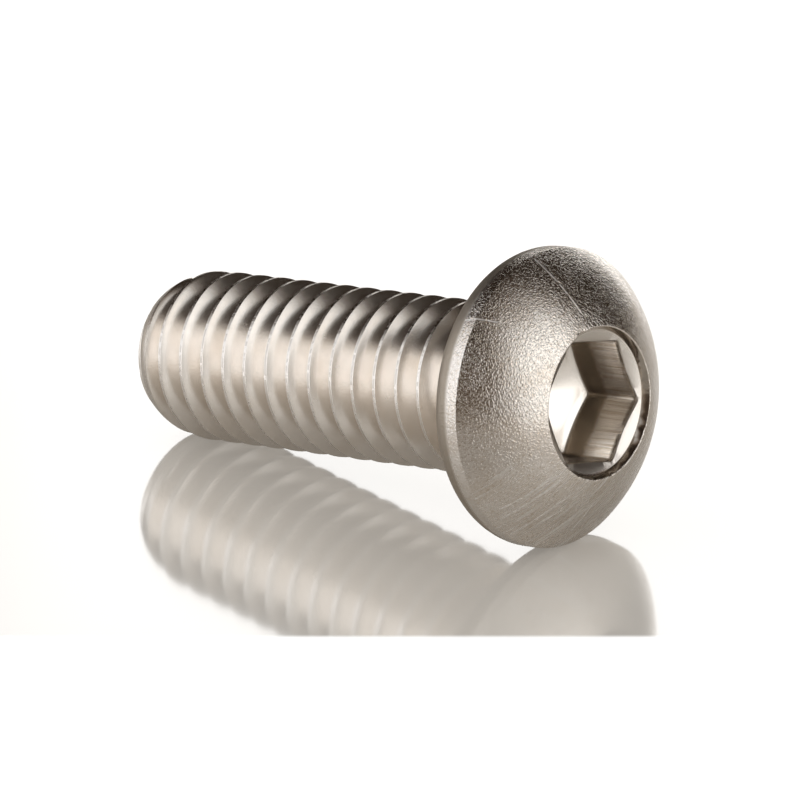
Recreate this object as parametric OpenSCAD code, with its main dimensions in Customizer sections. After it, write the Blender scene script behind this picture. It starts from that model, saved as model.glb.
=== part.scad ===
// Button head screw with a hexagon socket and a right-hand metric thread, lying at rest on its side.
// Lengths are in millimetres. The screw is drawn upright about its own axis, with the bearing face of the
// head at height 0, and is then laid down on the rim of its head and the first full crest of its thread.

/* [Thread] */
// Diameter over the crests of the thread
thread_d = 5.88; // [4:0.02:6.6]
// Advance of the thread in one turn
pitch = 1; // [0.5:0.05:1.5]
// Length from the bearing face of the head to the end of the point
shank_l = 16; // [10:0.5:60]
// Height above the end of the point of the thread's start, measured along the underside
thread_start = 1; // [0:0.05:1]

/* [Point] */
// Diameter of the flat end of the point
point_d = 4.5; // [3:0.1:5]
// Length over which the crests grow to their full height
point_l = 1.9; // [0.5:0.1:4]

/* [Neck] */
// Length of the plain neck under the head, with its fillet
neck_l = 0.7; // [0.6:0.1:3]
// Length over which the thread runs out into the neck
runout_l = 1; // [0.5:0.1:3]
// Radius of the fillet between the neck and the bearing face
neck_fillet_r = 0.5; // [0.3:0.05:0.55]

/* [Head] */
// Diameter of the head at its rim
head_d = 10.15; // [9:0.05:14]
// Height of the head from its bearing face to the mouth of the socket
head_h = 3.3; // [3:0.05:5]
// Radius of the dome
dome_r = 6.45; // [5.6:0.05:9]
// Radius of the rounded corner between the rim and the bearing face
rim_corner_r = 0.9; // [0.2:0.05:1]

/* [Socket] */
// Width of the hexagon socket across its flats
socket_af = 4.05; // [3:0.05:4.2]
// Depth of the socket below its mouth, at the corners of the hexagon
socket_depth = 2.5; // [1.5:0.05:2.7]
// Further depth of the shallow cone in the socket's floor, from those corners to the axis
floor_cone_depth = 0.85; // [0.1:0.05:0.9]
// Diameter of the mouth on the dome
mouth_d = 5.15; // [4.95:0.05:6]
// Depth of the steep ring that leads in from the mouth
lead_in_depth = 0.3; // [0.2:0.05:0.6]
// Diameter at which that ring meets the shallow shoulder above the flats
shoulder_d = 4.92; // [4.8:0.02:5.5]
// Depth of the shoulder, from the ring to the middle of the flats
shoulder_depth = 0.12; // [0.04:0.02:0.3]
// Turn of the socket about the axis of the screw
socket_turn = 17; // [0:0.2:60]

/* [Hidden] */
$fn = 96;

// Thread form of the metric standard: shares of the pitch from the middle of a crest, with depths below it
crest_half = 1 / 16;
flank_end = 3 / 8;
root_middle = 1 / 2;
form_h = pitch * sqrt(3) / 2;
flank_h = form_h * 5 / 8;
pitch_line_h = form_h * 3 / 8;
root_r = form_h / 6;
root_h = flank_h + root_r / 2;
thread_form = [
    [-crest_half, 0],
    [crest_half, 0],
    [flank_end, flank_h],
    [root_middle, root_h],
    [1 - flank_end, flank_h],
    [1 - crest_half, 0],
];
lines_per_turn = len(thread_form) - 1;
turn_steps = 48;
// Turns that are counted beyond each end of the shank, so that the rows of points cover it
spare_turns = 2;

// The neck is as thick as the blank before the thread is rolled, and the thread stops inside it
thread_r = thread_d / 2;
neck_r = thread_r - pitch_line_h;
neck_step = 0.03;
neck_overlap = 0.2;
thread_l = shank_l - neck_l + neck_overlap;
runout_z = shank_l - neck_l - runout_l;
// No line of the thread comes closer than this to either end
line_gap = 0.02;

// Head and socket
head_r = head_d / 2;
mouth_r = mouth_d / 2;
dome_z = head_h - sqrt(dome_r * dome_r - mouth_r * mouth_r);
hex_r = socket_af / 2 / cos(30);
shoulder_r = min(shoulder_d, mouth_d) / 2;
cut_over = 1;

// Share of the thread's form that is left at a height above the end of the point
function thread_share(z) = min(1, max(0, (runout_z + runout_l - z) / runout_l));

// Largest radius that the rounded point allows at a height
function point_limit(z) =
    z >= point_l ? thread_r : thread_r - (thread_r - point_d / 2) * pow(1 - z / point_l, 2);

// Place on the thread's form at a height and an angle, from the start of a crest
function form_place(z, angle) =
    let (turns = (z - thread_start) / pitch - angle / 360 + crest_half)
    turns - floor(turns) - crest_half;

// Radius of the shank at a height above the end of the point and an angle about the axis
function shank_r(z, angle) =
    let (form_r = thread_r - lookup(form_place(z, angle), thread_form))
    let (slim_r = neck_r - neck_step)
    min(point_limit(z), slim_r + (form_r - slim_r) * thread_share(z));

function shank_point(z, step) =
    let (angle = 360 * step / turn_steps, r = shank_r(z, angle))
    [r * cos(angle), r * sin(angle), z - shank_l];

// Height of a line of the thread's form on one of the straight rows of points along the shank
function line_z(line, step) =
    let (turn = floor(line / lines_per_turn))
    let (place = thread_form[line - turn * lines_per_turn][0])
    thread_start + pitch * (turn - spare_turns + place + step / turn_steps);

// Threaded shank as rows of points from the point to the neck, one row for each step of a turn.
// After a full turn each line of the thread meets the line of the next turn.
module threaded_shank() {
    lines = [0 : (ceil(thread_l / pitch) + 2 * spare_turns) * lines_per_turn];
    steps = [0 : turn_steps - 1];
    kept = [
        for (step = steps)
            [for (line = lines) if (abs(line_z(line, step) - thread_l / 2) < thread_l / 2 - line_gap) line]
    ];
    rows = [
        for (step = steps)
            [0, for (line = kept[step]) line_z(line, step), thread_l]
    ];
    row_start = [for (step = 0, n = 0; step < turn_steps; n = n + len(rows[step]), step = step + 1) n];
    points = [for (step = steps) for (z = rows[step]) shank_point(z, step)];

    function wrapped(step) = step % turn_steps;
    function shift(step) = step < turn_steps ? 0 : lines_per_turn;
    function first(step) = kept[wrapped(step)][0] - shift(step);
    function last(step) = first(step) + len(kept[wrapped(step)]) - 1;
    function low(step) = row_start[wrapped(step)];
    function high(step) = low(step) + len(rows[wrapped(step)]) - 1;
    function at(line, step) = low(step) + 1 + line - first(step);

    bands = [
        for (a = steps)
            let (b = a + 1)
            each [
                [low(a), at(first(b), b), low(b)],
                for (line = [first(b) : 1 : first(a) - 1]) [low(a), at(line + 1, b), at(line, b)],
                [low(a), at(first(a), a), at(first(a), b)],
                for (line = [first(a) : 1 : last(b) - 1])
                    each [
                        [at(line, a), at(line + 1, a), at(line + 1, b)],
                        [at(line, a), at(line + 1, b), at(line, b)],
                    ],
                for (line = [last(b) : 1 : last(a) - 1]) [high(b), at(line, a), at(line + 1, a)],
                [high(b), at(last(b), b), at(last(b), a)],
                [high(b), at(last(a), a), high(a)],
            ]
    ];
    ends = [
        [for (step = steps) low(step)],
        [for (step = [turn_steps - 1 : -1 : 0]) high(step)],
    ];
    polyhedron(points, concat(bands, ends), convexity = 20);
}

// Outline of the head and its neck: a dome over a plain rim with a rounded lower corner
module head_outline() {
    intersection() {
        translate([0, dome_z])
            circle(r = dome_r);
        difference() {
            square([head_r, head_h + cut_over]);
            translate([head_r - rim_corner_r, 0])
                difference() {
                    translate([0, -cut_over])
                        square([rim_corner_r + cut_over, rim_corner_r + cut_over]);
                    translate([0, rim_corner_r])
                        circle(r = rim_corner_r);
                }
        }
    }
}

module neck_outline() {
    difference() {
        translate([0, -neck_l])
            square([neck_r + neck_fillet_r, neck_l]);
        translate([neck_r, -neck_l - cut_over])
            square([neck_fillet_r + cut_over, neck_l + cut_over - neck_fillet_r]);
        translate([neck_r + neck_fillet_r, -neck_fillet_r])
            circle(r = neck_fillet_r);
    }
}

// Hexagon with a shallow cone for a floor
module hexagon_pocket() {
    pocket_depth = socket_depth + floor_cone_depth;
    intersection() {
        translate([0, 0, -pocket_depth])
            cylinder(r = hex_r, h = pocket_depth, $fn = 6);
        rotate_extrude()
            polygon([
                [0, cut_over],
                [0, -pocket_depth],
                [hex_r + cut_over, -socket_depth + floor_cone_depth * cut_over / hex_r],
                [hex_r + cut_over, cut_over],
            ]);
    }
}

// Shallow shoulder above the flats and steep ring that opens to the mouth
module lead_in() {
    rotate_extrude()
        polygon([
            [0, cut_over],
            [0, -lead_in_depth - shoulder_depth],
            [socket_af / 2, -lead_in_depth - shoulder_depth],
            [shoulder_r, -lead_in_depth],
            [mouth_r, 0],
            [mouth_r, cut_over],
        ]);
}

module socket() {
    translate([0, 0, head_h])
        rotate([0, 0, socket_turn]) {
            hexagon_pocket();
            lead_in();
        }
}

module upright_screw() {
    difference() {
        union() {
            rotate_extrude()
                head_outline();
            rotate_extrude()
                neck_outline();
            threaded_shank();
        }
        socket();
    }
}

// Rest on the floor: the lean at which a crest on the underside meets the floor with the rim, least first
function crest_z(turn) = thread_start + pitch * (turn - crest_half);
function crest_lean(z) =
    let (rise = head_r - rim_corner_r - shank_r(z, 0))
    let (reach = rim_corner_r + shank_l - z)
    acos(-rim_corner_r / norm([rise, reach])) - atan2(reach, rise);
lean = min([for (turn = [0 : floor(runout_z / pitch) - 1]) if (crest_z(turn) > 0) crest_lean(crest_z(turn))]);
rest_h = (head_r - rim_corner_r) * cos(lean) - rim_corner_r * sin(lean) + rim_corner_r;
reach_head = mouth_r * sin(lean) + head_h * cos(lean);
reach_tip = shank_l * cos(lean) + point_d / 2 * sin(lean);

module screw() {
    color("silver")
        translate([(reach_tip - reach_head) / 2, 0, rest_h])
            rotate([0, 90 - lean, 0])
                upright_screw();
}

screw();
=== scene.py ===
"""Dresses the button head screw: one closed steel body with a rolled thread, a peened head and a socket."""
import math

import bmesh
import bpy
import numpy as np
from bpy.props import FloatProperty, FloatVectorProperty, IntProperty, PointerProperty
from mathutils import Euler, Matrix, Vector


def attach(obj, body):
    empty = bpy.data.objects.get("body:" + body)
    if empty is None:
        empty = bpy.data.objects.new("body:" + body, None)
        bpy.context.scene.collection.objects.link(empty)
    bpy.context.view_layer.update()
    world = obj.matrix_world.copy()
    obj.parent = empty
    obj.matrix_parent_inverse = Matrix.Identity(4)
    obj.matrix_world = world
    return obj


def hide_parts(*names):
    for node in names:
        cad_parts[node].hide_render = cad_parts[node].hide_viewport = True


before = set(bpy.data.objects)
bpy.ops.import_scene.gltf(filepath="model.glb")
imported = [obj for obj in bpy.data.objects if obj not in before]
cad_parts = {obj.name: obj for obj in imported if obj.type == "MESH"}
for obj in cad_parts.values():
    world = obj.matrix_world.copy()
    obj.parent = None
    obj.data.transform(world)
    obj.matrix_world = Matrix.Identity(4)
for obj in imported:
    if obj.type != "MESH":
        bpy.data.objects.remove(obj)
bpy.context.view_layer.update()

bl_info = {
    "name": "Button head screw",
    "version": (1, 0, 0),
    "blender": (4, 5, 0),
    "location": "3D View > Sidebar > Screw",
    "description": "Builds a metric button head screw with a rolled thread, and the table that it lies on",
    "category": "Add Mesh",
}

MM = 0.001
FULL_TURN = 2 * math.pi
BLACK = (0.0, 0.0, 0.0, 1.0)
WHITE = (1.0, 1.0, 1.0, 1.0)


# Node graphs

class Wire:
    """An output socket that takes part in Python arithmetic: each operation adds one Math node."""

    def __init__(self, graph, socket):
        self.graph = graph
        self.socket = socket

    def __getitem__(self, name):
        return Wire(self.graph, self.socket.node.outputs[name])

    def __add__(self, other):
        return self.graph.math("ADD", self, other)

    def __sub__(self, other):
        return self.graph.math("SUBTRACT", self, other)

    def __mul__(self, other):
        return self.graph.math("MULTIPLY", self, other)

    def __truediv__(self, other):
        return self.graph.math("DIVIDE", self, other)

    def __pow__(self, other):
        return self.graph.math("POWER", self, other)

    def __radd__(self, other):
        return self.graph.math("ADD", other, self)

    def __rsub__(self, other):
        return self.graph.math("SUBTRACT", other, self)

    def __rmul__(self, other):
        return self.graph.math("MULTIPLY", other, self)

    def __rtruediv__(self, other):
        return self.graph.math("DIVIDE", other, self)

    def __abs__(self):
        return self.graph.math("ABSOLUTE", self)


class Graph:
    """A node tree of either kind, filled one node at a time."""

    def __init__(self, tree):
        self.tree = tree
        tree.nodes.clear()

    def add(self, kind, settings=None, sockets=None):
        """Adds a node, sets it up, gives its inputs their values or links, and returns its first output."""
        node = self.tree.nodes.new(kind)
        for name, value in (settings or {}).items():
            setattr(node, name, value)
        for name, value in (sockets or {}).items():
            if isinstance(value, Wire):
                self.tree.links.new(value.socket, node.inputs[name])
            else:
                node.inputs[name].default_value = value
        return Wire(self, node.outputs[0]) if node.outputs else None

    def math(self, operation, *values):
        return self.add("ShaderNodeMath", {"operation": operation}, dict(enumerate(values)))

    def vector(self, operation, *values):
        return self.add("ShaderNodeVectorMath", {"operation": operation}, dict(enumerate(values)))

    def least(self, first, second):
        return self.math("MINIMUM", first, second)

    def most(self, first, second):
        return self.math("MAXIMUM", first, second)

    def dot(self, first, second):
        return self.vector("DOT_PRODUCT", first, second)["Value"]

    def parts(self, vector):
        """The three parts of a vector."""
        node = self.add("ShaderNodeSeparateXYZ", None, {0: vector})
        return node["X"], node["Y"], node["Z"]

    def step(self, value, low, high, to_low=0.0, to_high=1.0):
        """A smooth step from one value to another, between two places."""
        sockets = {"Value": value, "From Min": low, "From Max": high, "To Min": to_low, "To Max": to_high}
        return self.add("ShaderNodeMapRange", {"interpolation_type": "SMOOTHSTEP"}, sockets)

    def fall(self, value, low, high):
        """A smooth step from one down to nothing, between two places."""
        return self.step(value, low, high, 1.0, 0.0)

    def band(self, value, low, high, soft):
        """One between two places and nothing outside them, with soft ends."""
        rise = self.step(value, low - soft / 2, low + soft / 2)
        return rise * self.fall(value, high - soft / 2, high + soft / 2)

    def mix(self, factor, first, second):
        """A colour between two others: inputs 6 and 7 and output 2 are a Mix node's colours."""
        node = self.add("ShaderNodeMix", {"data_type": "RGBA"}, {0: factor, 6: first, 7: second})
        return node[2]

    def noise(self, place, scale, detail, roughness=0.5):
        sockets = {"Vector": place, "Scale": scale, "Detail": detail, "Roughness": roughness}
        return self.add("ShaderNodeTexNoise", None, sockets)


# Sizes and finishes that a user would change

def length(name, description, millimetres):
    return FloatProperty(
        name=name, description=description, default=millimetres * MM, unit="LENGTH", precision=6
    )


def spot(name, description, millimetres):
    metres = tuple(part * MM for part in millimetres)
    return FloatVectorProperty(
        name=name, description=description, default=metres, subtype="XYZ", unit="LENGTH", precision=6
    )


def angle(name, description, degrees):
    return FloatProperty(name=name, description=description, default=math.radians(degrees), subtype="ANGLE")


def fraction(name, description, value):
    return FloatProperty(name=name, description=description, default=value, min=0.0, max=1.0)


def tint(name, description, colour):
    return FloatVectorProperty(
        name=name, description=description, default=colour, size=3, subtype="COLOR", min=0.0, max=1.0
    )


class ScrewSizes(bpy.types.PropertyGroup):
    """Sizes of the screw, those of the solid that it stands for."""

    thread_d: length("Thread diameter", "Diameter over the crests of the thread", 5.87)
    pitch: length("Pitch", "Advance of the thread in one turn", 1.0)
    shank_l: length("Shank length", "Length from the bearing face to the end of the point", 16.0)
    thread_start: length("Thread start", "Height of a crest above the point, along the underside", 1.0)
    crest_round: length("Crest rounding", "Depth over which the edges of the crests are rounded", 0.02)
    seam_depth: length("Crest seam", "Depth of the seam that rolling leaves along the crests", 0.006)
    point_d: length("Point diameter", "Diameter at the end of the point", 4.5)
    point_l: length("Point length", "Length over which the crests grow to their full height", 1.9)
    neck_l: length("Neck length", "Length of the plain neck under the head", 0.7)
    runout_l: length("Run-out length", "Length over which the thread runs out into the neck", 1.0)
    neck_fillet_r: length("Neck fillet", "Radius of the fillet between the neck and the bearing face", 0.5)
    head_d: length("Head diameter", "Diameter of the head at its rim", 10.14)
    head_h: length("Head height", "Height from the bearing face to the mouth of the socket", 3.29)
    dome_r: length("Dome radius", "Radius of the dome", 6.45)
    rim_corner_r: length("Rim corner", "Radius of the corner between the rim and the bearing face", 0.9)
    edge_r: length("Edge rounding", "Radius of the edge between the rim and the dome", 0.06)
    socket_af: length("Socket width", "Width of the hexagon socket across its flats", 4.05)
    socket_depth: length("Socket depth", "Depth of the socket at the corners of the hexagon", 2.5)
    floor_cone_depth: length("Floor cone", "Further depth of the cone in the floor of the socket", 0.85)
    mouth_d: length("Mouth diameter", "Diameter of the mouth of the socket", 5.15)
    lead_in_depth: length("Lead-in depth", "Depth of the steep ring inside the mouth", 0.3)
    shoulder_d: length("Shoulder diameter", "Diameter at which the ring meets the shallow shoulder", 4.92)
    shoulder_depth: length("Shoulder depth", "Depth from the ring to the middle of the flats", 0.12)
    lip_r: length("Lip rounding", "Radius of the lip of the mouth", 0.04)
    socket_turn: angle("Socket turn", "Turn of the hexagon about the axis", 17.0)
    lean: angle("Lean", "Rise of the axis towards the head as the screw lies at rest", 8.15522)
    seat: spot("Seat", "Place of the middle of the bearing face", (6.26273, 0.0, 4.90511))
    columns: IntProperty(name="Columns", description="Points in one turn, a multiple of six", default=192)


class SteelFinish(bpy.types.PropertyGroup):
    """Colours and marks of the stainless steel."""

    colour: tint("Steel", "Colour of the bare steel", (0.86, 0.805, 0.74))
    stain: tint("Stain", "Colour of the steel in its duller patches", (0.68, 0.585, 0.48))
    bright: tint("Fresh steel", "Colour of the steel laid bare in a scratch", (0.93, 0.9, 0.86))
    # Dark colour: painted shade deep in the socket and on the lower corner of the rim, and also the darker
    # lead-in ring and the broken line along the crests
    dirt_and_shade: tint("Dirt", "Colour of the dull steel deep in the socket", (0.42, 0.36, 0.29))
    peen_size: length("Peen size", "Width of the dents on the tumbled head", 0.1)
    peen_depth: length("Peen depth", "Depth of the dents on the tumbled head", 0.006)
    broach_depth: length("Broach marks", "Depth of the marks along the walls of the socket", 0.008)
    grain_depth: length("Rolled grain", "Depth of the grain on the thread", 0.0015)


class StageLook(bpy.types.PropertyGroup):
    """Table, light and camera."""

    table: tint("Table", "Colour of the table", (0.96, 0.96, 0.955))
    plate: tint("Plate", "Colour of the polished plate under the screw", (0.16, 0.151, 0.138))
    glow_colour: tint("Glow colour", "Colour of the light that comes up through the plate", (1.0, 0.94, 0.86))
    glow: fraction("Glow", "Light that comes up through the plate", 0.17)
    plate_edge: length("Plate edge", "Distance of the plate's front edge from the middle of the table", 13.86)
    gloss: fraction("Gloss", "Strength of the reflection at a low angle", 0.87)
    azimuth: angle("Azimuth", "Turn of the camera round the screw", 41.686)
    elevation: angle("Elevation", "Height of the camera above the table", 20.233)
    lens: FloatProperty(name="Lens", description="Focal length of the camera", default=405.0, unit="CAMERA")
    offset: spot("Offset", "Bearing face from the camera: right, up and forward", (4.241, 0.206, 302.35))


# Shape of the screw, upright about its own axis with the bearing face at height 0

# Shares of the pitch from the middle of a crest: half the width of its flat, and the edges of the seam on it
CREST_HALF = 1 / 16
SEAM_EDGE = (0.012, 0.034)
# Shares of the height of the thread's sharp triangle: depth of the roots, and how softly they are rounded
ROOT_DEPTH = 5 / 8 + 1 / 12
ROOT_SOFT = 0.05
# The blank's radius lies at the pitch line, this share of that height below the crests
PITCH_LINE = 3 / 8
# Rows of points in half a pitch, as shares of the pitch from the middle of a crest
HALF_PITCH_ROWS = [0.0, 0.016, 0.036, 0.0625, 0.085, 0.12, 0.17, 0.25, 0.33, 0.395, 0.4165, 0.455]
# Turns that are counted beyond each end of the shank, so that the rows of points cover it
SPARE_TURNS = 2
# Height and width of the soft edge round the flat end of the point
POINT_EDGE_H = 0.3 * MM
POINT_EDGE_W = 0.35 * MM
# Bevel at the top of the socket's walls, fillet at their foot, and softness of the hexagon's corners
WALL_BEVEL = 0.03 * MM
FLOOR_FILLET = 0.09 * MM
HEXAGON_SOFT = 0.012
# Dents along the lip of the socket: depths, reach from the lip, and turns in degrees of their worst places
CHIP_DEPTH = 0.035 * MM
NOTCH_DEPTH = 0.06 * MM
CHIP_REACH = 0.12 * MM
CHIP_TURN = 50
NOTCH_TURN = 191
NOTCH_WIDTH = 3.5
CHIP_SEED = 7
# Points closer than this are one, and edges shorter than this go
MERGE_GAP = 0.002 * MM
LEAST_EDGE = 0.0001 * MM
# A length that makes no difference to a place
TINY = 0.001 * MM
SHARP_ANGLE = math.radians(38)


def rounded(corners, radii, parts=4):
    """An outline with some of its corners rounded, each by an arc of a few parts."""
    points = []
    for i, corner in enumerate(corners):
        radius = radii.get(i, 0.0)
        if radius == 0.0:
            points.append(corner)
            continue
        before, here, after = (np.array(corners[k]) for k in (i - 1, i, i + 1))
        back = (before - here) / np.linalg.norm(before - here)
        ahead = (after - here) / np.linalg.norm(after - here)
        half = math.acos(float(np.clip(back @ ahead, -1, 1))) / 2
        reach = radius / math.tan(half)
        middle = here + (back + ahead) / np.linalg.norm(back + ahead) * radius / math.sin(half)
        first = here + back * reach - middle
        last = here + ahead * reach - middle
        turn = math.pi - 2 * half
        for t in np.linspace(0, 1, parts + 1):
            spoke = (first * math.sin((1 - t) * turn) + last * math.sin(t * turn)) / math.sin(turn)
            points.append(tuple(middle + spoke))
    return points


def arc(middle, radius, start, end, parts):
    """Points on an arc, with angles in degrees from the outward direction."""
    angles = np.radians(np.linspace(start, end, parts + 1))
    return [(middle[0] + radius * math.cos(a), middle[1] + radius * math.sin(a)) for a in angles]


def neck_radius(s):
    """The neck is as thick as the blank before the thread is rolled."""
    return s.thread_d / 2 - s.pitch * math.sqrt(3) / 2 * PITCH_LINE


def dome_middle(s):
    """Height of the middle of the dome's sphere."""
    return s.head_h - math.sqrt(s.dome_r ** 2 - (s.mouth_d / 2) ** 2)


def head_outline(s):
    """From the neck to the inner end of the lead-in ring: radius and height."""
    fillet_r = neck_radius(s) + s.neck_fillet_r
    head_r = s.head_d / 2
    corner_r = head_r - s.rim_corner_r
    fillet = arc((fillet_r, -s.neck_fillet_r), s.neck_fillet_r, 180, 90, parts=6)
    bearing = [(r, 0.0) for r in np.linspace(fillet_r, corner_r, 5)[1:-1]]
    corner = arc((corner_r, s.rim_corner_r), s.rim_corner_r, -90, 0, parts=12)
    edge = math.degrees(math.acos(head_r / s.dome_r))
    mouth = math.degrees(math.acos(s.mouth_d / 2 / s.dome_r))
    dome = arc((0.0, dome_middle(s)), s.dome_r, edge, mouth, parts=30)
    lead_in = [(s.shoulder_d / 2, s.head_h - s.lead_in_depth)]
    dome_start = len(fillet) + len(bearing) + len(corner)
    lip = dome_start + len(dome) - 1
    return rounded(fillet + bearing + corner + dome + lead_in, {dome_start: s.edge_r, lip: s.lip_r})


def ring(angles, radius, height):
    """Points round the axis, with one radius and height, or one of each for every angle."""
    radius = np.broadcast_to(radius, angles.shape)
    height = np.broadcast_to(height, angles.shape)
    return np.stack([radius * np.cos(angles), radius * np.sin(angles), height], 1)


def hexagon(s, angles):
    """Radius of the hexagon at each angle, with its corners a little rounded."""
    flats = [s.socket_turn + math.radians(30 + 60 * k) for k in range(6)]
    reach = np.stack([np.cos(angles - flat) for flat in flats])
    return s.socket_af / 2 / (np.log(np.exp(reach / HEXAGON_SOFT).sum(0)) * HEXAGON_SOFT)


def socket_rings(s, angles):
    """From the shoulder down the walls of the hexagon and across the floor almost to its middle."""
    hexagon_r = hexagon(s, angles)
    corner_r = s.socket_af / math.sqrt(3)
    flat_r = s.socket_af / 2
    shoulder_r = s.shoulder_d / 2

    def shoulder_z(r):
        return s.head_h - s.lead_in_depth - s.shoulder_depth * (shoulder_r - r) / (shoulder_r - flat_r)

    def floor_z(r):
        return s.head_h - s.socket_depth - s.floor_cone_depth * (1 - r / corner_r)

    top_r = hexagon_r + WALL_BEVEL
    rings = [ring(angles, top_r, shoulder_z(top_r))]
    wall_top = shoulder_z(hexagon_r) - WALL_BEVEL
    wall_end = floor_z(hexagon_r) + FLOOR_FILLET
    for t in np.linspace(0, 1, 9):
        rings.append(ring(angles, hexagon_r, wall_top * (1 - t) + wall_end * t))
    for turn in np.radians((30, 60, 90)):
        r = hexagon_r - FLOOR_FILLET * (1 - math.cos(turn))
        rings.append(ring(angles, r, floor_z(r) + FLOOR_FILLET * (1 - math.sin(turn))))
    for share in (0.85, 0.65, 0.45, 0.25, 0.1):
        r = hexagon_r * share * (1 - 0.06 * (1 - share))
        rings.append(ring(angles, r, floor_z(r)))
    return rings


def lip_chips(angles):
    """Small dents along the lip of the socket, most of them low on the far side, as a depth at each angle."""
    random = np.random.default_rng(CHIP_SEED)
    waves = sum(np.sin(n * angles + random.uniform(0, FULL_TURN)) for n in random.integers(20, 80, 16))
    dents = np.clip(waves / 4 - 0.2, 0, 1.2)
    share = 0.3 + 0.7 * np.clip(np.cos(angles - math.radians(CHIP_TURN)), 0, 1)
    turn = np.angle(np.exp(1j * (angles - math.radians(NOTCH_TURN))), deg=True)
    return CHIP_DEPTH * share * dents + NOTCH_DEPTH * np.exp(-(turn / NOTCH_WIDTH) ** 2)


def blank_radius(s, h):
    """Radius of the shank over the crests, at a height above the end of the point."""
    thread_r = s.thread_d / 2
    short = np.clip(1 - h / s.point_l, 0, None)
    point_r = thread_r - (thread_r - s.point_d / 2) * short ** 2
    return np.where(h > s.shank_l - s.neck_l, neck_radius(s), point_r)


def shank_rows(s, angles, start, end):
    """Rows of points that climb with the thread between two heights above the end of the point.
    There is one column for each angle, and after a full turn each row meets the row one pitch on."""
    lines = np.array(HALF_PITCH_ROWS + [0.5] + [1 - p for p in reversed(HALF_PITCH_ROWS[1:])])
    turns = np.arange(-SPARE_TURNS, math.ceil(s.shank_l / s.pitch) + SPARE_TURNS)
    places = (turns[:, None] + lines[None, :]).ravel()
    heights = s.thread_start + s.pitch * (places[None, :] + angles[:, None] / FULL_TURN)
    heights = np.clip(heights, start, end)
    radii = blank_radius(s, heights)
    x = radii * np.cos(angles)[:, None]
    y = radii * np.sin(angles)[:, None]
    return np.stack([x, y, heights - s.shank_l], 2), len(lines)


class Shell:
    """A closed body, built up from rings that have one point in each column."""

    def __init__(self, angles):
        self.angles = angles
        self.columns = len(angles)
        self.points = []
        self.faces = []

    def keep(self, block):
        """Adds points, and returns the number of the first one."""
        first = len(self.points)
        self.points.extend(np.asarray(block, float).reshape(-1, 3).tolist())
        return first

    def join(self, rows):
        """Adds the faces between each ring and the next."""
        for low, high in zip(rows, rows[1:]):
            for k in range(self.columns):
                n = (k + 1) % self.columns
                self.faces.append((low + k, low + n, high + n, high + k))

    def close(self, row, middle):
        """Adds the faces between a ring and a point in its middle."""
        pole = self.keep([middle])
        for k in range(self.columns):
            self.faces.append((pole, row + (k + 1) % self.columns, row + k))

    def mesh(self, name):
        """The body as a mesh, with its faces turned outwards and no edge left open."""
        mesh = bpy.data.meshes.new(name)
        mesh.from_pydata(self.points, [], self.faces)
        bm = bmesh.new()
        bm.from_mesh(mesh)
        bmesh.ops.remove_doubles(bm, verts=bm.verts, dist=MERGE_GAP)
        bmesh.ops.dissolve_degenerate(bm, edges=bm.edges, dist=LEAST_EDGE)
        bmesh.ops.recalc_face_normals(bm, faces=bm.faces)
        open_edges = sum(1 for edge in bm.edges if len(edge.link_faces) != 2)
        bm.to_mesh(mesh)
        bm.free()
        if open_edges:
            raise RuntimeError(f"the screw's shell has {open_edges} open edges")
        return mesh


def add_point(shell, s):
    """A flat end with a soft edge, up to the row at which the shank starts."""
    edge_r = float(blank_radius(s, np.array(POINT_EDGE_H)))
    slope = (s.thread_d - s.point_d) / s.point_l * (1 - POINT_EDGE_H / s.point_l)
    bend_r = edge_r - slope * POINT_EDGE_H
    flat_r = bend_r - POINT_EDGE_W
    outline = [(flat_r * t, 0.0) for t in (0.2, 0.45, 0.7, 0.9)]
    for t in np.linspace(0, 1, 9):
        r = flat_r * (1 - t) ** 2 + 2 * bend_r * t * (1 - t) + edge_r * t ** 2
        outline.append((r, POINT_EDGE_H * t ** 2))
    rows = [shell.keep(ring(shell.angles, r, h - s.shank_l)) for r, h in outline]
    shell.close(rows[0], (0.0, 0.0, -s.shank_l))
    shell.join(rows)


def add_shank(shell, s):
    """A plain shank whose rows climb as the thread will, so its last column meets its first one pitch on."""
    grid, pitch_rows = shank_rows(s, shell.angles, POINT_EDGE_H, s.shank_l - s.neck_fillet_r)
    count = grid.shape[1]
    first = shell.keep(grid)
    for k in range(shell.columns):
        n = (k + 1) % shell.columns
        shift = pitch_rows if n == 0 else 0
        here = first + k * count
        beside = first + n * count + shift
        for i in range(count - 1 - shift):
            shell.faces.append((here + i, beside + i, beside + i + 1, here + i + 1))


def add_head(shell, s):
    """The neck's fillet, the rim, the dome and the lead-in, then the socket."""
    chips = lip_chips(shell.angles)
    rows = []
    for r, z in head_outline(s):
        share = max(0.0, 1 - math.hypot(r - s.mouth_d / 2, z - s.head_h) / CHIP_REACH)
        rows.append(shell.keep(ring(shell.angles, r + 0.5 * share * chips, z - share * chips)))
    rows += [shell.keep(block) for block in socket_rings(s, shell.angles)]
    shell.join(rows)
    shell.close(rows[-1], (0.0, 0.0, s.head_h - s.socket_depth - s.floor_cone_depth))


def screw_blank(s):
    """The whole screw as one closed shell, before its thread is rolled."""
    shell = Shell(s.socket_turn + FULL_TURN * np.arange(s.columns) / s.columns)
    add_point(shell, s)
    add_shank(shell, s)
    add_head(shell, s)
    return shell.mesh("screw_blank")


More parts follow.
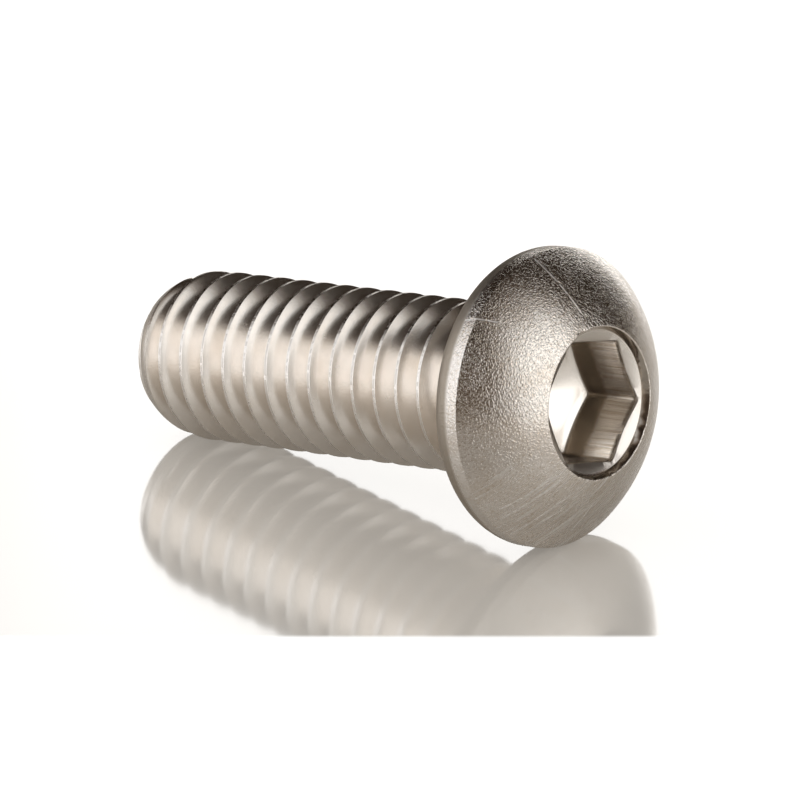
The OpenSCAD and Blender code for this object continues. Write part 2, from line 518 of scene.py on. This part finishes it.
def rolled_thread(s, material):
    """Geometry nodes that roll the thread into the shank of a blank: right-hand, with the metric form."""
    tree = bpy.data.node_groups.new("Rolled thread", "GeometryNodeTree")
    g = Graph(tree)
    sizes = {
        "Thread radius": s.thread_d / 2,
        "Neck radius": neck_radius(s),
        "Pitch": s.pitch,
        "Thread start": s.thread_start,
        "Shank length": s.shank_l,
        "Neck length": s.neck_l,
        "Run-out length": s.runout_l,
        "Crest rounding": s.crest_round,
        "Seam depth": s.seam_depth,
    }
    tree.interface.new_socket("Geometry", in_out="INPUT", socket_type="NodeSocketGeometry")
    for name, value in sizes.items():
        socket = tree.interface.new_socket(name, in_out="INPUT", socket_type="NodeSocketFloat")
        socket.subtype = "DISTANCE"
        socket.default_value = value
    tree.interface.new_socket("Geometry", in_out="OUTPUT", socket_type="NodeSocketGeometry")
    given = g.add("NodeGroupInput")

    place = g.add("GeometryNodeInputPosition")
    x, y, z = g.parts(place)
    height = z + given["Shank length"]
    turn = g.math("ARCTAN2", y, x) / FULL_TURN
    along = (height - given["Thread start"]) / given["Pitch"] - turn
    from_crest = g.math("PINGPONG", along, 0.5)

    # Form of the thread as a depth below the crests: flat crests, flanks and a rounded root
    form_h = given["Pitch"] * (math.sqrt(3) / 2)
    flank = (from_crest - CREST_HALF) * given["Pitch"] * math.sqrt(3)
    depth = g.math("SMOOTH_MAX", flank, 0.0, given["Crest rounding"])
    depth = g.math("SMOOTH_MIN", depth, form_h * ROOT_DEPTH, form_h * ROOT_SOFT)
    unsteady = g.step(g.noise(place, scale=4.2 / MM, detail=2.0), 0.42, 0.6)
    depth = depth + g.fall(from_crest, *SEAM_EDGE) * given["Seam depth"] * unsteady

    # The form fades into the neck, and nothing stands above the blank
    neck_start = given["Shank length"] - given["Neck length"]
    share = g.fall(height, neck_start - given["Run-out length"], neck_start)
    form_r = given["Neck radius"] + (given["Thread radius"] - depth - given["Neck radius"]) * share
    blank_r = g.vector("LENGTH", g.add("ShaderNodeCombineXYZ", None, {"X": x, "Y": y}))["Value"]
    scale = g.least(blank_r, form_r) / g.most(blank_r, TINY)
    rolled = g.add("ShaderNodeCombineXYZ", None, {"X": x * scale, "Y": y * scale, "Z": z})
    below = {0: z, 1: -s.neck_fillet_r - TINY}
    shank = g.add("FunctionNodeCompare", {"data_type": "FLOAT", "operation": "LESS_THAN"}, below)
    moved = {"Geometry": given["Geometry"], "Selection": shank, "Position": rolled}
    shape = g.add("GeometryNodeSetPosition", None, moved)
    shape = g.add("GeometryNodeRealizeInstances", None, {"Geometry": shape})
    shape = g.add("GeometryNodeSetMaterial", None, {"Geometry": shape, "Material": material})
    g.add("NodeGroupOutput", None, {"Geometry": shape})
    return tree, sizes


# Finishes, with places in millimetres on the upright screw: a pair is a soft edge, from place to place

# Heights above the bearing face on the head: the lower corner of the rim, where shade is painted, the worn
# part, the dome
RIM_CORNER_START = 0.15
RIM_CORNER_END = 0.9
RIM_CORNER_SOFT = 0.2
WORN_START = (0.85, 1.0)
DOME_START = (1.3, 1.4)
# Heights above the bearing face in the socket: foot and top of the walls, top of the painted shade, shoulder,
# lead-in ring
WALL_FOOT = (0.66, 0.8)
WALL_TOP = (2.8, 2.9)
PAINTED_SHADE_TOP = (1.68, 1.95)
SHOULDER_START = 2.85
SHOULDER_END = 2.98
SHOULDER_SOFT = 0.03
RING_START = (2.97, 3.02)
# Distance below the axis, as the screw lies, from which the dome is scuffed, and the ways across and along
SCUFF_START = (0.6, 2.4)
SCUFF_ACROSS = (0.79, 0.61, 0.0)
SCUFF_ALONG = (-0.45, 0.65, 0.61)
# Scuffs in a millimetre on those two ways, and broach marks in a millimetre on the three axes
SCUFFS_ACROSS = 9.0
SCUFFS_ALONG = 0.35
BROACH_MARKS = (13.0, 13.0, 0.4)
# Distances from the middle of a scratch: its edge, the slope of its burr and the burr's edge
SCRATCH_EDGE = (0.01, 0.03)
BURR_SLOPE = (-0.3, -0.02)
BURR_EDGE = (-0.02, 0.02)
SCRATCH_END_SOFT = 0.2
# Share of the pitch from the middle of a crest within which it is marked, and height at which the marks start
CREST_MARK = (0.02, 0.06)
MARK_START = (0.3, 0.5)
# Scratches on the dome from one end to the other, with a burr on the right of that way seen from outside:
# the turn of each end about the axis in degrees, and its distance from the axis
SCRATCHES = (
    ((-177, 3.2), (-174, 5.1)),
    ((-54, 4.9), (-51, 3.15)),
    ((-49, 4.8), (-46, 3.0)),
    ((-38, 4.6), (-32, 3.35)),
    ((-33, 4.3), (-27, 3.7)),
    ((-10, 4.4), (-6, 3.5)),
    ((-139, 4.55), (-134, 5.5)),
)


def dome_way(s, turn, r):
    """From the middle of the dome's sphere to the place at a turn and a distance from the axis."""
    a = math.radians(turn)
    return Vector((r * math.cos(a), r * math.sin(a), math.sqrt((s.dome_r / MM) ** 2 - r ** 2)))


def scratch_lines(s):
    """The ways across and along each scratch, where it lies on the first, and its ends on the second."""
    middle = Vector((0.0, 0.0, dome_middle(s) / MM))
    for ends in SCRATCHES:
        first, last = (dome_way(s, turn, r) for turn, r in ends)
        across = first.cross(last).normalized()
        along = across.cross(first + last).normalized()
        yield across, across.dot(middle), along, along.dot(first + middle), along.dot(last + middle)


def scratch_masks(g, s, place):
    """The scratches and the burrs beside them."""
    lines, burrs = [], []
    for across, offset, along, start, end in scratch_lines(s):
        aside = g.dot(place, across) - offset
        stretch = g.band(g.dot(place, along), start, end, SCRATCH_END_SOFT)
        lines.append(g.fall(abs(aside), *SCRATCH_EDGE) * stretch)
        burrs.append(g.step(aside, *BURR_SLOPE) * g.fall(aside, *BURR_EDGE) * stretch)
    return g.least(sum(lines), 1.0), sum(burrs)


def upright_place(g, s):
    """Object coordinates turned upright about the screw's own axis, in millimetres."""
    place = g.add("ShaderNodeTexCoord")["Object"]
    turn = (0.0, math.pi / 2 - s.lean, 0.0)
    sockets = {"Vector": place, "Location": s.seat, "Rotation": turn, "Scale": (MM, MM, MM)}
    return g.add("ShaderNodeMapping", {"vector_type": "TEXTURE"}, sockets)


def new_material(name):
    material = bpy.data.materials.new(name)
    material.use_nodes = True
    return material, Graph(material.node_tree)


def finish_steel(g, colour, roughness, height, distance):
    bump = g.add("ShaderNodeBump", None, {"Strength": 1.0, "Distance": distance, "Height": height})
    sockets = {"Base Color": colour, "Metallic": 1.0, "Roughness": roughness, "Normal": bump}
    steel = g.add("ShaderNodeBsdfPrincipled", None, sockets)
    g.add("ShaderNodeOutputMaterial", None, {"Surface": steel})


def opaque(colour):
    return (*colour, 1.0)


def peened_steel(s, f):
    """Head: tumbled, with wrinkles and dents all over, painted shade on the lower corner of the rim, scuffs
    across its lower half and a few scratches.
    """
    material, g = new_material("peened_steel")
    place = upright_place(g, s)
    down, _, axial = g.parts(place)
    size = f.peen_size / MM
    wrinkles = g.step(abs(g.noise(place, scale=0.6 / size, detail=3.0, roughness=0.6) - 0.5), 0.0, 0.05)
    dents = g.step(g.noise(place, scale=1.35 / size, detail=1.0), 0.46, 0.68)

    # Scuffs are noise drawn out one way, and scratches are worn away in places
    across = SCUFFS_ACROSS * g.dot(place, SCUFF_ACROSS)
    along = SCUFFS_ALONG * g.dot(place, SCUFF_ALONG)
    drawn = g.add("ShaderNodeCombineXYZ", None, {"X": across, "Y": along})
    strokes = g.noise(drawn, scale=1.0, detail=3.0, roughness=0.6)
    lower = g.step(down, *SCUFF_START) * g.step(axial, *DOME_START)
    scuffs = g.step(strokes, 0.5, 0.7) * lower
    worn = g.step(g.noise(place, scale=5.0, detail=1.0), 0.3, 0.45) * g.step(axial, *WORN_START)
    lines, burrs = scratch_masks(g, s, place)
    scratches = lines * worn
    height = 0.4 * wrinkles + 0.95 * dents + 1.7 * burrs * worn

    patches = g.step(g.noise(place, scale=0.9, detail=3.0), 0.35, 0.7)
    specks = g.step(g.noise(place, scale=1.1 / size, detail=2.0, roughness=0.7), 0.5, 0.68)
    # The lower corner of the rim, where painted shade darkens the colour below
    corner = g.band(axial, RIM_CORNER_START, RIM_CORNER_END, RIM_CORNER_SOFT)
    colour = g.mix(0.4 * patches + 0.6 * specks, opaque(f.colour), opaque(f.stain))
    colour = g.mix(0.95 * corner, colour, opaque(f.dirt_and_shade))
    colour = g.mix(g.most(scratches, 0.9 * scuffs), colour, opaque(f.bright))
    roughness = 0.17 + 0.1 * g.noise(place, scale=6.0, detail=3.0) + 0.04 * lower
    roughness = roughness + 0.25 * scuffs + 0.25 * corner + 0.4 * scratches
    finish_steel(g, colour, roughness, height, f.peen_depth)
    return material


def rolled_steel(s, f):
    """Thread, neck and point: rolled smooth, with a broken dark line along the seams of the crests."""
    material, g = new_material("rolled_steel")
    place = upright_place(g, s)
    x, y, z = g.parts(place)
    height = z + s.shank_l / MM
    turn = g.math("ARCTAN2", y, x) / FULL_TURN
    along = (height - s.thread_start / MM) / (s.pitch / MM) - turn
    crest = g.fall(g.math("PINGPONG", along, 0.5), *CREST_MARK)
    gaps = g.step(g.noise(place, scale=6.0, detail=2.0), 0.42, 0.54)
    broken = crest * gaps * g.step(height, *MARK_START)
    patches = g.step(g.noise(place, scale=0.7, detail=3.0), 0.4, 0.75)
    colour = g.mix(0.35 * patches, opaque(f.colour), opaque(f.stain))
    colour = g.mix(0.35 * broken, colour, opaque(f.dirt_and_shade))
    roughness = 0.2 + 0.1 * g.noise(place, scale=3.0, detail=3.0) + 0.15 * broken
    grain = g.noise(place, scale=9.0, detail=3.0)
    finish_steel(g, colour, roughness, grain + 2.0 * broken, f.grain_depth)
    return material


def broached_steel(s, f):
    """Socket: walls with marks along the axis and painted shade that darkens them towards the floor, under a
    darker lead-in ring.
    """
    material, g = new_material("broached_steel")
    place = upright_place(g, s)
    _, _, z = g.parts(place)
    drawn = g.vector("MULTIPLY", place, BROACH_MARKS)
    marks = g.noise(drawn, scale=1.0, detail=3.0, roughness=0.65)
    walls = g.step(z, *WALL_FOOT) * g.fall(z, *WALL_TOP)
    lines = g.step(marks, 0.45, 0.6) * walls
    # Painted shade: the walls take the dark colour more and more towards the floor of the socket
    deep = g.fall(z + 0.5 * marks, *PAINTED_SHADE_TOP) * walls
    shoulder = g.band(z, SHOULDER_START, SHOULDER_END, SHOULDER_SOFT)
    colour = g.mix(walls, opaque(f.colour), opaque(f.bright))
    colour = g.mix(0.65 * lines, colour, opaque(f.stain))
    # The painted shade deep in the socket and the darker lead-in ring take the dark colour
    colour = g.mix(g.most(0.85 * deep, 0.6 * g.step(z, *RING_START)), colour, opaque(f.dirt_and_shade))
    roughness = 0.13 + 0.12 * walls + 0.17 * shoulder
    grain = g.noise(place, scale=9.0, detail=2.0, roughness=0.6) * shoulder
    finish_steel(g, colour, roughness, marks * walls + 0.75 * grain, f.broach_depth)
    return material


# Table, lamp and screens

TABLE_HALF = 1.5
EDGE_SOFT = 0.2 * MM
# Gloss of the plate, the most that it mirrors to the camera, and the glow that only the camera sees
PLATE_ROUGHNESS = 0.08
PLATE_IOR = 1.7
MIRROR_MOST = 0.7
SEEN_GLOW = 0.04
SENSOR_WIDTH = 36.0
CLIP_START = 0.01
LAMP_ENERGY = 2.6
LAMP_SPREAD = math.radians(110)
LAMP_HEIGHT = 0.5

# Places of the screens in degrees: azimuths count to the right from the camera's side, the others are
# elevations, and each pair is a soft edge
RIGHT_START = (14.0, 46.0)
RIGHT_END = (74.0, 98.0)
RIGHT_TOP = (27.0, 74.0)
RIGHT_LEVEL = 1.42
LEFT_START = (-152.0, -105.0)
LEFT_END = (-62.0, -30.0)
LEFT_TOP = 65.0
LEFT_TOP_SOFT = (-9.0, 9.0)
LEFT_LEVEL = 1.02
# The top of the left screen falls beyond two azimuths, by a share of a degree in each degree
LEFT_FALLS = ((-50.0, 0.35), (-105.0, 0.8))
# The left screen is brighter at its front end and at the foot of its back end
LEFT_BRIGHTER = 0.6
LEFT_FRONT = (-84.0, -68.0)
LEFT_FOOT_END = (-115.0, -100.0)
LEFT_FOOT_TOP = (8.0, 20.0)
# The back screen's azimuths run past 180, and its foot and its level change along it
BACK_START = 151.0
BACK_END = 184.0
BACK_SOFT = 4.0
BACK_TOP = (27.0, 33.0)
BACK_FOOT_TURN = (160.0, 174.0)
BACK_FOOT = (-4.0, 13.0)
BACK_FOOT_SOFT = (-3.0, 3.0)
BACK_LEVEL_TURN = (164.0, 174.0)
BACK_LEVEL = (1.75, 1.9)
# The gap between the screens on the camera's side, the room, and the levels that count as dark
GAP_START = (-40.0, -20.0)
GAP_END = (20.0, 40.0)
GAP_TOP = (28.0, 50.0)
GAP_LEVEL = 0.06
ROOM_LEVEL = 0.025
DARK = (0.1, 0.5)
LEFT_COLOUR = (0.98, 1.0, 1.05, 1.0)
DARK_COLOUR = (1.0, 0.72, 0.52, 1.0)


def right_screen(g, azimuth, elevation):
    """Level of the light from the screen on the right."""
    width = g.step(azimuth, *RIGHT_START) * g.fall(azimuth, *RIGHT_END)
    return RIGHT_LEVEL * (width * g.fall(elevation, *RIGHT_TOP))


def left_screen(g, azimuth, elevation):
    """Share of the screen on the left, and the level of its light."""
    top = LEFT_TOP
    for start, slope in LEFT_FALLS:
        top = top + slope * g.least(azimuth - start, 0.0)
    width = g.step(azimuth, *LEFT_START) * g.fall(azimuth, *LEFT_END)
    share = width * g.fall(elevation - top, *LEFT_TOP_SOFT)
    foot = g.fall(azimuth, *LEFT_FOOT_END) * g.fall(elevation, *LEFT_FOOT_TOP)
    level = LEFT_LEVEL + LEFT_BRIGHTER * g.most(g.step(azimuth, *LEFT_FRONT), foot)
    return share, level * share


def back_screen(g, azimuth, elevation):
    """Level of the light from the screen behind."""
    behind = g.math("FLOORED_MODULO", azimuth, 360.0)
    foot = g.step(behind, *BACK_FOOT_TURN, *BACK_FOOT)
    share = g.band(behind, BACK_START, BACK_END, BACK_SOFT) * g.step(elevation - foot, *BACK_FOOT_SOFT)
    share = share * g.fall(elevation, *BACK_TOP)
    return g.step(behind, *BACK_LEVEL_TURN, *BACK_LEVEL) * share


def front_gap(g, azimuth, elevation):
    """Level of the faint light from the camera's side."""
    width = g.step(azimuth, *GAP_START) * g.fall(azimuth, *GAP_END)
    return GAP_LEVEL * (width * g.fall(elevation, *GAP_TOP))


def plate_and_sheet(look, near):
    """A polished plate with a faint glow, and a white sheet before it that only the camera sees as white."""
    material, g = new_material("table_gloss")
    place = g.add("ShaderNodeTexCoord")["Object"]
    sheet = g.step(g.dot(place, near), look.plate_edge - EDGE_SOFT, look.plate_edge + EDGE_SOFT)
    camera = g.add("ShaderNodeLightPath")["Is Camera Ray"]
    colour = g.mix(sheet * camera, opaque(look.plate), opaque(look.table))
    matte = g.add("ShaderNodeBsdfDiffuse", None, {"Color": colour})

    seen_glow = (look.glow + SEEN_GLOW) * (1.0 - sheet)
    cast_glow = look.glow * (1.0 - 0.5 * sheet)
    glow = g.mix(seen_glow * camera + cast_glow * (1.0 - camera), BLACK, opaque(look.glow_colour))
    light = g.add("ShaderNodeEmission", None, {"Color": glow, "Strength": 1.0})
    lit = g.add("ShaderNodeAddShader", None, {0: matte, 1: light})

    slant = g.add("ShaderNodeLayerWeight", None, {"Blend": 0.5})["Facing"]
    seen = g.least(look.gloss * slant ** 2, MIRROR_MOST) * (1.0 - sheet)
    share = g.add("ShaderNodeFresnel", None, {"IOR": PLATE_IOR}) * (1.0 - camera) + seen * camera
    gloss = g.add("ShaderNodeBsdfAnisotropic", None, {"Color": WHITE, "Roughness": PLATE_ROUGHNESS})
    mirrored = g.add("ShaderNodeMixShader", None, {"Fac": share, 2: gloss})
    shader = g.add("ShaderNodeAddShader", None, {0: lit, 1: mirrored})
    g.add("ShaderNodeOutputMaterial", None, {"Surface": shader})
    return material


# Operators

class SCREW_OT_body(bpy.types.Operator):
    """Build the screw as one closed steel body, lying where the solid lies"""

    bl_idname = "screw.body"
    bl_label = "Screw"

    def execute(self, context):
        s = context.scene.screw_sizes
        f = context.scene.screw_finish
        finishes = [peened_steel(s, f), rolled_steel(s, f), broached_steel(s, f)]
        mesh = self.roll(context, s, finishes[0])
        self.dress(mesh, finishes, s)
        turn = Euler((0.0, math.pi / 2 - s.lean, 0.0)).to_matrix().to_4x4()
        mesh.transform(Matrix.Translation(Vector(s.seat)) @ turn)
        mesh.name = "screw_body"
        body = bpy.data.objects.new("screw_body", mesh)
        context.scene.collection.objects.link(body)
        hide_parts("screw")
        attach(body, "root")
        return {"FINISHED"}

    def roll(self, context, s, material):
        """The mesh of the blank with its thread rolled."""
        blank = bpy.data.objects.new("screw_blank", screw_blank(s))
        context.scene.collection.objects.link(blank)
        tree, sizes = rolled_thread(s, material)
        roll = blank.modifiers.new("Rolled thread", "NODES")
        roll.node_group = tree
        for item in tree.interface.items_tree:
            if item.in_out == "INPUT" and item.name in sizes:
                roll[item.identifier] = sizes[item.name]
        graph = context.evaluated_depsgraph_get()
        mesh = bpy.data.meshes.new_from_object(blank.evaluated_get(graph))
        bpy.data.objects.remove(blank)
        return mesh

    def dress(self, mesh, finishes, s):
        """Gives the head, the shank and the socket their finishes, and keeps the true edges sharp."""
        mesh.materials.clear()
        for finish in finishes:
            mesh.materials.append(finish)
        middles = np.zeros(len(mesh.polygons) * 3)
        mesh.polygons.foreach_get("center", middles)
        middles = middles.reshape(-1, 3)
        radii = np.hypot(middles[:, 0], middles[:, 1])
        kinds = np.zeros(len(middles), np.int32)
        kinds[middles[:, 2] < -s.neck_fillet_r / 2] = 1
        kinds[(radii < s.mouth_d / 2 - s.lip_r) & (middles[:, 2] > 0)] = 2
        mesh.polygons.foreach_set("material_index", kinds)
        mesh.polygons.foreach_set("use_smooth", np.ones(len(middles), bool))
        mesh.set_sharp_from_angle(angle=SHARP_ANGLE)
        mesh.update()


class SCREW_OT_stage(bpy.types.Operator):
    """Set up the bright glossy table, the light round it and the camera"""

    bl_idname = "screw.stage"
    bl_label = "Stage"

    def execute(self, context):
        scene = context.scene
        look = scene.screw_stage
        scene.view_settings.view_transform = "Standard"
        right = Vector((math.cos(look.azimuth), math.sin(look.azimuth), 0.0))
        near = Vector((math.sin(look.azimuth), -math.cos(look.azimuth), 0.0))
        self.camera(scene, look, right, near)
        self.table(scene, look, near)
        self.lamp(scene)
        self.surround(scene, right, near)
        return {"FINISHED"}

    def camera(self, scene, look, right, near):
        back = near * math.cos(look.elevation) + Vector((0.0, 0.0, math.sin(look.elevation)))
        up = back.cross(right)
        shift = look.offset
        place = Vector(scene.screw_sizes.seat) - right * shift[0] - up * shift[1] + back * shift[2]
        data = bpy.data.cameras.new("camera")
        data.sensor_width = SENSOR_WIDTH
        data.lens = look.lens
        data.clip_start = CLIP_START
        camera = bpy.data.objects.new("camera", data)
        turn = Matrix((right, up, back)).transposed().to_4x4()
        camera.matrix_world = Matrix.Translation(place) @ turn
        scene.collection.objects.link(camera)
        scene.camera = camera

    def table(self, scene, look, near):
        mesh = bpy.data.meshes.new("table")
        corners = [(TABLE_HALF * x, TABLE_HALF * y, 0) for x, y in ((-1, -1), (1, -1), (1, 1), (-1, 1))]
        mesh.from_pydata(corners, [], [(0, 1, 2, 3)])
        mesh.materials.append(plate_and_sheet(look, near))
        table = bpy.data.objects.new("table", mesh)
        scene.collection.objects.link(table)

    def lamp(self, scene):
        """Soft light from above, which the table shows and the steel doesn't mirror."""
        data = bpy.data.lights.new("overhead", "SUN")
        data.energy = LAMP_ENERGY
        data.angle = LAMP_SPREAD
        lamp = bpy.data.objects.new("overhead", data)
        lamp.location = (0.0, 0.0, LAMP_HEIGHT)
        lamp.visible_glossy = False
        scene.collection.objects.link(lamp)

    def surround(self, scene, right, near):
        """Pale screens to the left, to the right and behind, in a dark room that the camera sees as white."""
        world = bpy.data.worlds.new("surround")
        world.use_nodes = True
        scene.world = world
        g = Graph(world.node_tree)
        way = g.add("ShaderNodeTexCoord")["Generated"]
        _, _, rise = g.parts(way)
        azimuth = g.math("ARCTAN2", g.dot(way, right), g.dot(way, near)) * math.degrees(1)
        elevation = g.math("ARCSINE", rise) * math.degrees(1)
        left, left_level = left_screen(g, azimuth, elevation)
        level = g.most(left_level, right_screen(g, azimuth, elevation))
        level = g.most(level, back_screen(g, azimuth, elevation))
        level = ROOM_LEVEL + g.most(level, front_gap(g, azimuth, elevation))
        seen = g.add("ShaderNodeLightPath")["Is Camera Ray"]
        level = g.most(level, seen)
        colour = g.mix(left * (1.0 - seen), WHITE, LEFT_COLOUR)
        colour = g.mix(g.fall(level, *DARK) * (1.0 - seen), colour, DARK_COLOUR)
        light = g.add("ShaderNodeBackground", None, {"Color": colour, "Strength": level})
        g.add("ShaderNodeOutputWorld", None, {"Surface": light})


class SCREW_PT_panel(bpy.types.Panel):
    """Sizes, finishes and builders of the screw"""

    bl_idname = "SCREW_PT_panel"
    bl_label = "Button head screw"
    bl_space_type = "VIEW_3D"
    bl_region_type = "UI"
    bl_category = "Screw"

    def draw(self, context):
        for name in GROUPS:
            group = getattr(context.scene, name)
            box = self.layout.box()
            for key in group.bl_rna.properties.keys():
                if key not in ("rna_type", "name"):
                    box.prop(group, key)
        self.layout.operator(SCREW_OT_body.bl_idname)
        self.layout.operator(SCREW_OT_stage.bl_idname)


GROUPS = {"screw_sizes": ScrewSizes, "screw_finish": SteelFinish, "screw_stage": StageLook}
CLASSES = (*GROUPS.values(), SCREW_OT_body, SCREW_OT_stage, SCREW_PT_panel)


def register():
    for cls in CLASSES:
        bpy.utils.register_class(cls)
    for name, group in GROUPS.items():
        setattr(bpy.types.Scene, name, PointerProperty(type=group))


def unregister():
    for name in GROUPS:
        delattr(bpy.types.Scene, name)
    for cls in reversed(CLASSES):
        bpy.utils.unregister_class(cls)


def main():
    register()
    bpy.ops.screw.body()
    bpy.ops.screw.stage()


if __name__ == "__main__":
    main()
